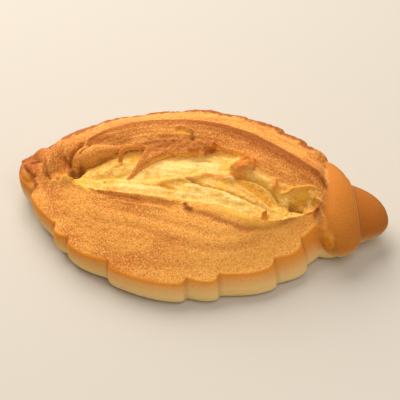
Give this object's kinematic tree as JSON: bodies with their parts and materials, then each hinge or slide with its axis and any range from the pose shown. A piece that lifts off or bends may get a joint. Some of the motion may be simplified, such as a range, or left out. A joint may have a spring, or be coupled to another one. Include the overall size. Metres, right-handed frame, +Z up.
{
  "type": "sweet bread roll",
  "caption": "Spindle-shaped sweet bread roll, slit lengthwise and baked open, with two sandy brown fluted leaves beside a crack of pale crumb; lies on its flat base.",
  "frame": {"origin": "middle of the roll's length and width, at the height of the table that it lies on", "axes": "+X along the roll from its curled end to its blunt uncut tip, +Y from the low leaf to the high leaf, +Z up"},
  "size_m": [0.2022, 0.1205, 0.0502],
  "materials": {
    "crust": "baked sandy crust with pale sides, matte"
  },
  "bodies": {
    "root": {"bun": "crust"}
  },
  "joints": []
}
